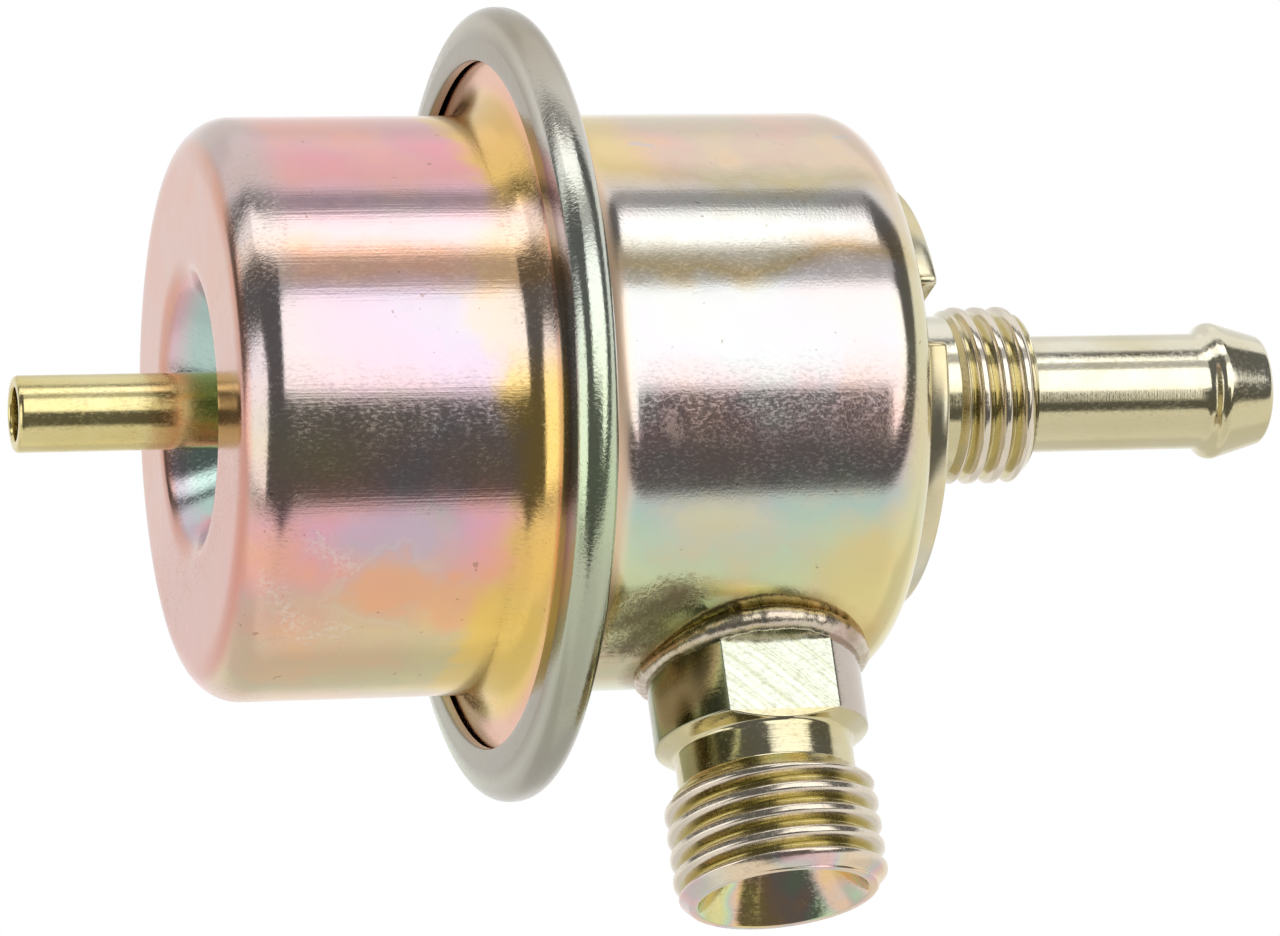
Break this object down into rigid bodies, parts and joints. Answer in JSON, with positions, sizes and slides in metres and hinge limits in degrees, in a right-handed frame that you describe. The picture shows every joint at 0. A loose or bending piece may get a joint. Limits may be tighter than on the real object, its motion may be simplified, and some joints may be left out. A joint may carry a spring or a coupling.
{
  "type": "fuel pressure regulator",
  "caption": "Diaphragm fuel pressure regulator: two drawn steel cups joined at a rolled flange, vacuum nipple, threaded side inlet and threaded hose outlet.",
  "frame": {"origin": "centre of the locating plate's outer face, on the main axis, where the part seats on its bracket", "axes": "+X along the main axis towards the hose outlet, the vacuum nipple points along -X, the inlet along -Z, and the locating notch is at -Y"},
  "size_m": [0.0853, 0.0522, 0.0611],
  "materials": {
    "housing_plating": "yellow passivated zinc with pink and gold bands",
    "chamber_plating": "yellow passivated zinc with pale green and pink bands",
    "nipple_plating": "yellow passivated zinc on drawn tube",
    "fitting_plating": "yellow passivated zinc on turned steel",
    "plate_plating": "yellow passivated zinc on stamped steel",
    "weld": "plated weld bead",
    "braze": "copper braze",
    "spring_steel": "oiled spring steel",
    "stamped_steel": "bright stamped steel",
    "turned_steel": "turned steel",
    "hardened_steel": "ground hardened steel",
    "diaphragm_fabric": "rubber coated fabric"
  },
  "bodies": {
    "housing": {"spring_housing": "housing_plating", "vacuum_nipple": "nipple_plating", "nipple_braze_ring": "braze", "upper_spring_seat": "stamped_steel", "compression_spring": "spring_steel", "diaphragm": "diaphragm_fabric", "fuel_chamber": "chamber_plating", "outlet_fitting": "fitting_plating", "outlet_braze_ring": "braze", "valve_seat": "hardened_steel", "locating_plate": "plate_plating", "inlet_fitting": "fitting_plating", "inlet_weld_ring": "weld"},
    "valve_carrier": {"spring_plate": "stamped_steel", "support_washer": "stamped_steel", "valve_holder": "turned_steel", "ball_spring": "spring_steel", "ball_retainer": "stamped_steel"},
    "valve_plate": {"valve_ball": "hardened_steel", "valve_disc": "hardened_steel"}
  },
  "joints": [
    {"name": "valve_lift", "type": "slide", "parent": "housing", "child": "valve_carrier", "axis": [-1, 0, 0], "range_m": [0, 0.0006], "stiffness_N_per_m": 150, "springref_m": -0.0005, "deforming": ["compression_spring", "diaphragm"]},
    {"name": "valve_swivel", "type": "hinge", "parent": "valve_carrier", "child": "valve_plate", "pos_m": [-0.0193, 0, 0], "axis": [0, 1, 0], "range_deg": [-2, 2]}
  ]
}
